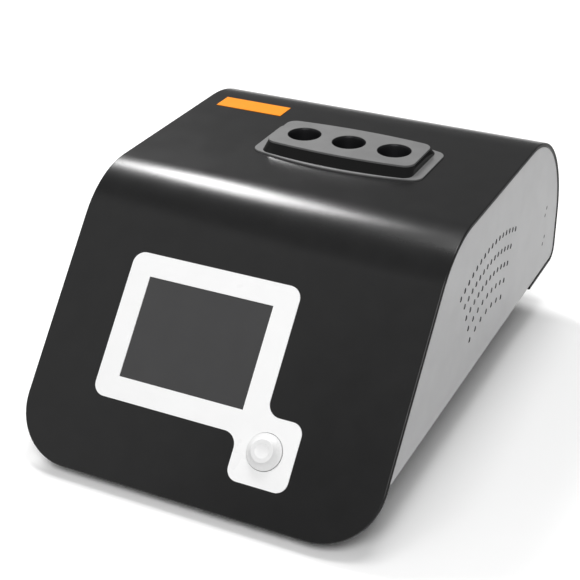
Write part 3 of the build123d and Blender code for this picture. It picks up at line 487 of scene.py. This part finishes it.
HEAD_GREY = Finish(
    "sample head grey", (0.15, 0.15, 0.15), roughness=0.5, specular=0.3,
    grain=Grain.PEEL, grain_scale=1400.0, grain_strength=0.1)
HEAD_BLACK = Finish(
    "sample head black", (0.003, 0.003, 0.003), roughness=0.1,
    grain=Grain.PEEL, grain_scale=500.0, grain_strength=0.04)
CUP_METAL = Finish(
    "well cup anodised", (0.02, 0.02, 0.022), metallic=0.6, roughness=0.35, grain_scale=2600.0)
ZINC = Finish("zinc plated steel", (0.55, 0.56, 0.58), metallic=1.0, roughness=0.36,
              grain=Grain.BRUSHED, grain_scale=1800.0)
DARK_STEEL = Finish("blackened steel", (0.09, 0.09, 0.09), metallic=0.7, roughness=0.45)
BARE_ALUMINIUM = Finish("milled aluminium", (0.72, 0.72, 0.73), metallic=1.0, roughness=0.34,
                        grain=Grain.BRUSHED, grain_scale=1600.0)
BRASS = Finish("plain brass", (0.72, 0.5, 0.22), metallic=1.0, roughness=0.3,
               grain=Grain.BRUSHED, grain_scale=2200.0)
BLACK_PLASTIC = Finish("black moulded plastic", (0.018, 0.018, 0.019), roughness=0.48)
GLOSS_BLACK = Finish("smooth black plastic", (0.012, 0.012, 0.012), roughness=0.22,
                     grain_strength=0.1)
RUBBER = Finish("foot rubber", (0.016, 0.016, 0.016), roughness=0.75, specular=0.3,
                grain_scale=1100.0, grain_depth=0.00005)
BOARD = Finish("board lacquer", (0.008, 0.07, 0.03), second=(0.02, 0.16, 0.06), roughness=0.3,
               grain=Grain.TRACKS, grain_scale=2600.0)
FIBRE_BOARD = Finish("insulation fibre", (0.66, 0.62, 0.54), roughness=0.9, mottle=0.12,
                     grain=Grain.FIBRE, grain_scale=900.0, grain_depth=0.0003)
SCREEN_GLASS = Finish("screen glass", (0.02, 0.02, 0.021), roughness=0.3, coat=0.5,
                      coat_roughness=0.12, grain_strength=0.04, wander=0.02)
CLEAR_GLASS = Finish("clear lens glass", (0.5, 0.55, 0.6), roughness=0.05, specular=0.8,
                     alpha=0.6, wander=0.01, grain_strength=0.02)
LABEL_ORANGE = Finish("label orange", (0.88, 0.27, 0.003), roughness=0.45, specular=0.15,
                      mottle=0.03)


@dataclass
class Enclosure:
    """The bent casing, its side panels, tray, feet and screws.

    Attributes:
        vent_ease: Width of the eased rim round each vent hole, in metres.
        vent_clear: Least distance of a vent from the panel's top and bottom, in metres.
        vent_clear_ends: Least distance of a vent from its front and rear ends, in metres.
        edge_facing: Least sideways part of the normal of the casing's cut edges.
        wall_facing: Most sideways part of the normal of a vent's wall.
    """

    vent_ease: float = 0.0005
    vent_clear: float = 0.016
    vent_clear_ends: float = 0.048
    edge_facing: float = 0.8
    wall_facing: float = 0.3

    def build(self) -> None:
        """Dress the casing and what it stands on."""
        casing = cover("casing", BLACK_PAINT)
        add_finish(casing, CUT_EDGE, lambda face: abs(face.normal.x) > self.edge_facing)
        for side in ("right", "left"):
            self.build_panel(side)
        cover("base_tray", TRAY_PAINT)
        cover("feet", RUBBER)
        for node in ("rear_posts", "foot_screws", "return_screws"):
            dress(shape_of(node), ZINC)
        dress(shape_of("side_screws"), DARK_STEEL)

    def build_panel(self, side: str) -> None:
        """Build a side panel whose vent holes have eased rims, with painted shade on the rims
        and walls.

        Args:
            side: "right" or "left".
        """
        node = f"side_panel_{side}"
        panel = cover(node, PANEL_PAINT)
        low, high = (Vector(corner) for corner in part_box(node))
        outer_x = high.x if side == "right" else low.x
        mesh = bmesh.new()
        mesh.from_mesh(panel.data)
        walls = [face for face in mesh.faces if abs(face.normal.x) < self.wall_facing
                 and self.is_inside(face.calc_center_median(), low, high)]
        held = set(walls)
        rims = [edge for edge in {edge for face in walls for edge in face.edges}
                if sum(face in held for face in edge.link_faces) == 1
                and all(abs(vert.co.x - outer_x) < SAME_PLANE for vert in edge.verts)]
        eased = bmesh.ops.bevel(mesh, geom=rims, offset=self.vent_ease, segments=1, profile=0.5,
                                affect="EDGES", material=-1)
        # The vent walls and eased rims get painted shade, far darker than the panel's own grey
        # paint
        panel.data.materials.append(VENT_PAINTED_SHADE.material())
        dark = len(panel.data.materials) - 1
        for face in [*walls, *eased["faces"]]:
            if face.is_valid:
                face.material_index = dark
        mesh.to_mesh(panel.data)
        mesh.free()

    def is_inside(self, point: Vector, low: Vector, high: Vector) -> bool:
        """Say whether a point lies well inside the panel's outline.

        Args:
            point: Point to test.
            low: Lowest corner of the panel.
            high: Highest corner of the panel.

        Returns:
            True where the point belongs to a vent.
        """
        return (low.z + self.vent_clear < point.z < high.z - self.vent_clear
                and low.y + self.vent_clear_ends < point.y < high.y - self.vent_clear_ends)


@dataclass
class Display:
    """The white surround, the screen and the boards behind it."""

    def build(self) -> None:
        """Dress the display and its inner parts."""
        cover("display_surround", WHITE_GLOSS)
        dress(shape_of("display_glass"), SCREEN_GLASS)
        dress(shape_of("display_module"), BLACK_PLASTIC)
        dress(shape_of("control_board"), BOARD)
        for node in ("display_carrier", "display_studs", "display_nuts", "control_spacers"):
            dress(shape_of(node), ZINC)


@dataclass
class PushDial:
    """The dial that turns and clicks inwards, and its encoder.

    Attributes:
        lean: Angle by which the front leans back from upright, in degrees.
        line_depth: Height of the lathe rings, in metres.
    """

    lean: float = 40.0
    line_depth: float = 0.00001

    def build(self) -> None:
        """Dress the dial with lathe rings round its own axis."""
        low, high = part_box("dial_ring")
        centre = tuple((a + b) / 2 for a, b in zip(low, high))
        turn = (math.pi / 2 - math.radians(self.lean), 0.0, 0.0)
        ring = Finish("dial ring satin", (0.8, 0.8, 0.8), roughness=0.3, mottle=0.02,
                      grain=Grain.TURNED, grain_scale=900.0, centre=centre, turn=turn,
                      grain_depth=self.line_depth, grain_strength=0.1)
        cap = Finish("dial cap bright", (0.86, 0.86, 0.86), roughness=0.25, mottle=0.02,
                     grain=Grain.TURNED, grain_scale=1300.0, centre=centre, turn=turn,
                     grain_depth=self.line_depth, grain_strength=0.08)
        cover("dial_ring", ring, "dial")
        cover("dial_cap", cap, "dial")
        dress(shape_of("encoder_shaft"), ZINC)
        dress(shape_of("encoder_rotor"), BLACK_PLASTIC)
        dress(shape_of("encoder_body"), BLACK_PLASTIC)


@dataclass
class SampleHead:
    """The flange, collar, plate and wells over the heated block."""

    def build(self) -> None:
        """Dress the sample head and the block under it."""
        cover("head_flange", HEAD_GREY)
        cover("head_collar", HEAD_BLACK)
        cover("head_plate", HEAD_GREY)
        cover("well_cups", CUP_METAL)
        for node in ("heating_block", "heater_base"):
            dress(shape_of(node), BARE_ALUMINIUM)
        for node in ("heaters", "temperature_sensor", "block_stand", "camera_stand"):
            dress(shape_of(node), ZINC)
        dress(shape_of("block_insulation"), FIBRE_BOARD)
        for node in ("camera_board", "lamp_board"):
            dress(shape_of(node), BOARD)
        dress(shape_of("camera_barrel"), BLACK_PLASTIC)
        for node in ("camera_lens", "lamps"):
            dress(shape_of(node), CLEAR_GLASS)


@dataclass
class Works:
    """The boards, supply and fan on the tray."""

    def build(self) -> None:
        """Dress what stands on the tray."""
        dress(shape_of("board_standoffs"), BRASS)
        dress(shape_of("main_board"), BOARD)
        dress(shape_of("heat_sink"), BARE_ALUMINIUM)
        dress(shape_of("board_capacitors"), GLOSS_BLACK)
        dress(shape_of("power_supply"), ZINC)
        dress(shape_of("fan_frame"), BLACK_PLASTIC)
        dress(shape_of("fan_rotor"), BLACK_PLASTIC)


@dataclass
class RearConnections:
    """The mains inlet, rocker and data port in the rear wall, and the label on the top."""

    def build(self) -> None:
        """Dress the rear connections and the label."""
        for node in ("mains_inlet", "rocker_frame", "rocker_button"):
            dress(shape_of(node), GLOSS_BLACK)
        dress(shape_of("inlet_pins"), BRASS)
        dress(shape_of("data_port"), ZINC)
        dress(shape_of("label_plate"), LABEL_ORANGE)


@dataclass(frozen=True)
class Lamp:
    """A soft lamp that looks at a point.

    Attributes:
        name: Name of the lamp.
        at: Its place.
        size: Its width and height, in metres.
        power: Its power, in watts.
        aim: Point that it looks at.
    """

    name: str
    at: Point
    size: tuple[float, float]
    power: float
    aim: Point = (0.0, 0.0, 0.1)

    def hang(self) -> None:
        """Hang the lamp in the scene."""
        data = bpy.data.lights.new(self.name, "AREA")
        data.shape = "RECTANGLE"
        data.size, data.size_y = self.size
        data.energy = self.power
        lamp = bpy.data.objects.new(self.name, data)
        lamp.location = self.at
        sight = Vector(self.aim) - Vector(self.at)
        lamp.rotation_euler = sight.to_track_quat("-Z", "Y").to_euler()
        bpy.context.scene.collection.objects.link(lamp)


LAMPS = (
    Lamp("key", (-1.02, 1.13, 1.79), (0.38, 0.72), 30.0),
    Lamp("overhead", (0.1, 0.45, 2.1), (0.9, 0.5), 16.0),
    Lamp("front_fill", (0.55, -1.45, 1.75), (1.2, 1.0), 26.0),
    Lamp("left_glow", (-1.4, -1.2, 1.5), (1.6, 1.6), 5.0),
)


@dataclass
class Studio:
    """Camera, lamps and floor.

    Attributes:
        camera_at: Place of the camera in the object's own frame.
        azimuth: Turn of the camera about Z, in degrees.
        elevation: Angle by which the camera looks down, in degrees.
        roll: Turn of the camera about its line of sight, in degrees.
        lens: Focal length, in millimetres.
        sensor: Width of the camera's sensor, in millimetres.
        floor_half: Half of the floor's side, in metres.
        floor_grey: Colour of the floor as the object's light sees it.
        floor_white: Colour of the floor as the camera sees it.
        room_light: Strength of the even light of the room.
    """

    camera_at: Point = (0.4121, -0.8796, 0.6087)
    azimuth: float = 25.94
    elevation: float = 28.77
    roll: float = -0.05
    lens: float = 85.5
    sensor: float = 36.0
    floor_half: float = 12.0
    floor_grey: Colour = (0.62, 0.62, 0.62)
    floor_white: Colour = (1.0, 1.0, 1.0)
    room_light: float = 0.22

    def build(self) -> None:
        """Set up the whole studio."""
        self.add_camera()
        self.add_floor()
        self.add_world()
        for lamp in LAMPS:
            lamp.hang()
        bpy.context.scene.view_settings.view_transform = "Standard"

    def add_camera(self) -> None:
        """Place the camera at the photograph's point of view."""
        data = bpy.data.cameras.new("camera")
        data.lens = self.lens
        data.sensor_width = self.sensor
        camera = bpy.data.objects.new("camera", data)
        camera.location = self.camera_at
        camera.rotation_euler = (
            math.radians(90.0 - self.elevation), 0.0, math.radians(self.azimuth))
        camera.rotation_euler.rotate_axis("Z", math.radians(self.roll))
        bpy.context.scene.collection.objects.link(camera)
        bpy.context.scene.camera = camera

    def add_floor(self) -> None:
        """Lay a pale floor that shows white to the camera and keeps the shadow."""
        mesh = bmesh.new()
        bmesh.ops.create_grid(mesh, x_segments=1, y_segments=1, size=self.floor_half)
        data = bpy.data.meshes.new("floor")
        mesh.to_mesh(data)
        mesh.free()
        floor = bpy.data.objects.new("floor", data)
        bpy.context.scene.collection.objects.link(floor)
        bench = Bench("pale floor")
        bench.tree.nodes.remove(bench.shader)
        diffuse = bench.add("ShaderNodeBsdfDiffuse")
        path = bench.add("ShaderNodeLightPath")
        shown = path.outputs["Is Camera Ray"]
        for ray in ("Is Glossy Ray", "Is Transmission Ray"):
            either = bench.add("ShaderNodeMath")
            either.operation = "MAXIMUM"
            bench.join(shown, either.inputs[0])
            bench.join(path.outputs[ray], either.inputs[1])
            shown = either.outputs[0]
        tint = bench.tint(shown, self.floor_grey, self.floor_white, 0.0, 1.0)
        bench.join(tint, diffuse.inputs["Color"])
        bench.join(diffuse.outputs[0], bench.output.inputs["Surface"])
        data.materials.append(bench.material)

    def add_world(self) -> None:
        """Fill the room with an even pale light."""
        world = bpy.data.worlds.new("room")
        bpy.context.scene.world = world
        world.use_nodes = True
        background = world.node_tree.nodes["Background"]
        background.inputs["Color"].default_value = (1.0, 1.0, 1.0, 1.0)
        background.inputs["Strength"].default_value = self.room_light


def main() -> None:
    """Build every part of the scene in order."""
    logging.basicConfig(level=logging.INFO, format="%(name)s: %(message)s")
    for part in (Enclosure(), Display(), PushDial(), SampleHead(), Works(),
                 RearConnections(), Studio()):
        part.build()
        LOG.info("built %s", type(part).__name__)


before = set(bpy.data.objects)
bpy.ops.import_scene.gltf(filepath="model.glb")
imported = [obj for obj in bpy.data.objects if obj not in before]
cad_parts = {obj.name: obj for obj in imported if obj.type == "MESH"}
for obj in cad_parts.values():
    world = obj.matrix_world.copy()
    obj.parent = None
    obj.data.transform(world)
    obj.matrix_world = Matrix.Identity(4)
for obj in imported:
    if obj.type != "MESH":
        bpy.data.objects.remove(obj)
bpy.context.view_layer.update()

if __name__ == "__main__":
    main()
